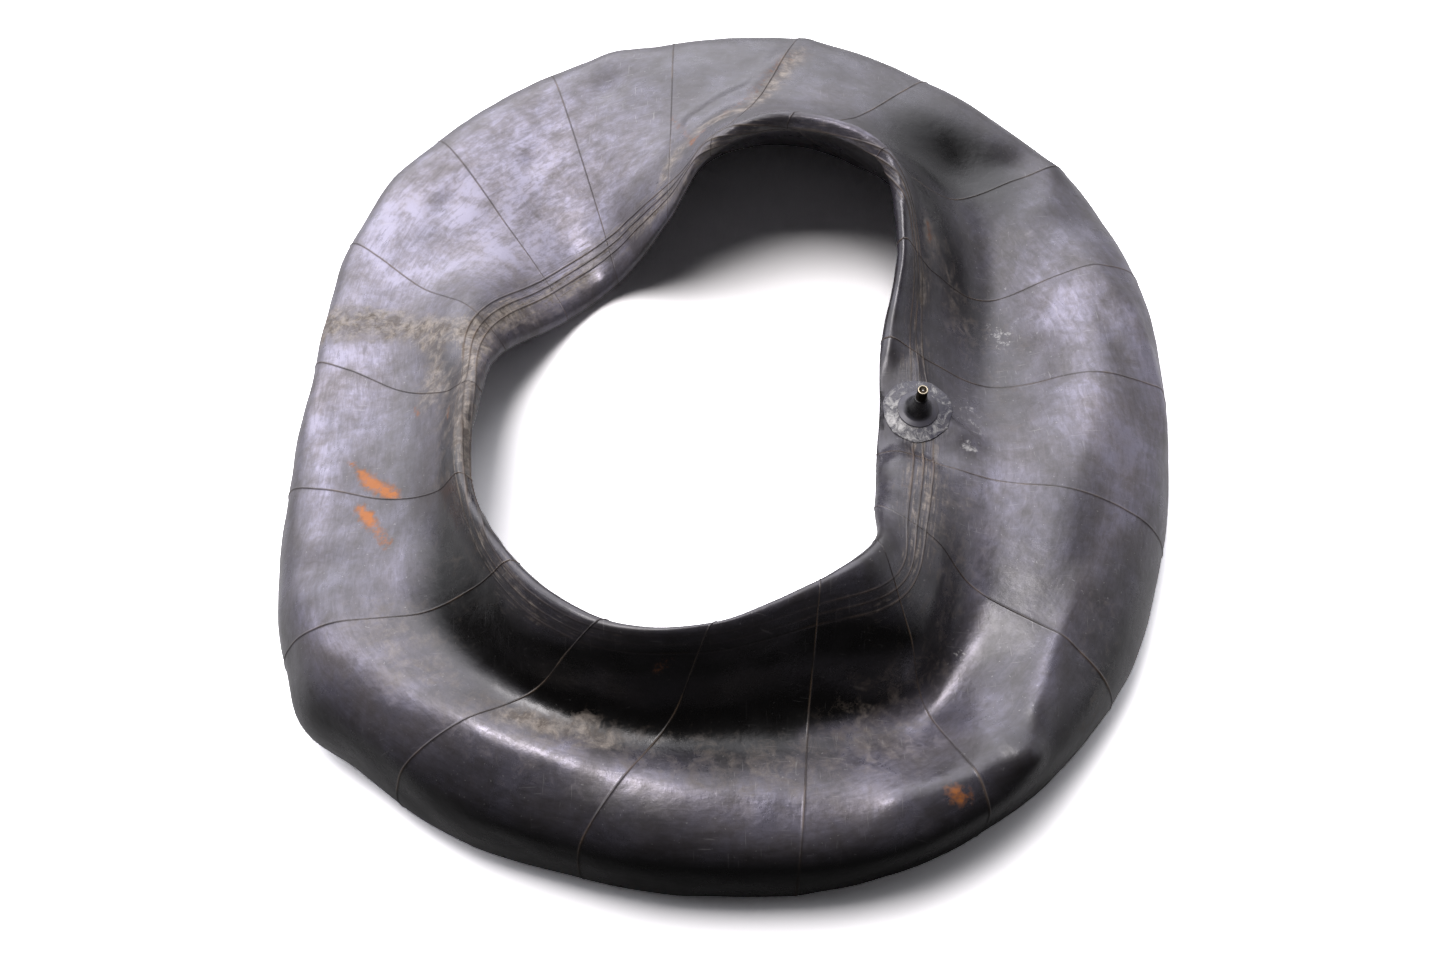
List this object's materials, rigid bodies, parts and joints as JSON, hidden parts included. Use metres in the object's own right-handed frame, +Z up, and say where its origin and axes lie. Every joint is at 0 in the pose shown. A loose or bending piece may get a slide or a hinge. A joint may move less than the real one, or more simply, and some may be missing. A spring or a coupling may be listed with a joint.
{
  "type": "inner tube",
  "caption": "Large butyl inner tube, let down and lying on its side in a slack oval ring, with a rubber-covered valve whose core unscrews and whose pin presses in.",
  "frame": {"origin": "middle of the tube's plan, on the floor it lies on", "axes": "+Z up from the floor, +Y away from the viewer along the longer way across, +X to the viewer's right"},
  "size_m": [0.6782, 0.7937, 0.172],
  "materials": {
    "butyl_skin": "used black butyl, satin, dusty",
    "patch_rubber": "matt rubber with chalky residue",
    "stem_rubber": "satin black moulded rubber",
    "stem_brass": "tarnished turned brass",
    "core_brass": "turned brass",
    "pin_steel": "plated steel",
    "core_seal": "matt black seal rubber"
  },
  "bodies": {
    "tube": {"tube_body": "butyl_skin", "base_patch": "patch_rubber", "valve_stem": "stem_rubber", "stem_insert": "stem_brass"},
    "core": {"core_barrel": "core_brass", "barrel_gasket": "core_seal", "core_spring": "pin_steel"},
    "swivel": {"core_swivel": "core_brass"},
    "pin": {"core_pin": "pin_steel", "plunger_cup": "core_brass", "plunger_seal": "core_seal"}
  },
  "joints": [
    {"name": "core_lift", "type": "slide", "parent": "tube", "child": "core", "axis": [-0.01, -0.1302, 0.9914], "range_m": [0, 0.00353]},
    {"name": "swivel_turn", "type": "hinge", "parent": "core", "child": "swivel", "pos_m": [0.1327, -0.0669, 0.12174], "axis": [-0.01, -0.1302, 0.9914], "range_deg": [0, 1800]},
    {"name": "pin_press", "type": "slide", "parent": "core", "child": "pin", "axis": [0.01, 0.1302, -0.9914], "range_m": [0, 0.0012], "stiffness_N_per_m": 600, "springref_m": -0.001, "deforming": ["core_spring"]}
  ],
  "couplings": [
    {"joint": "swivel_turn", "follows": "core_lift", "rad_per_m": 8904.7}
  ]
}
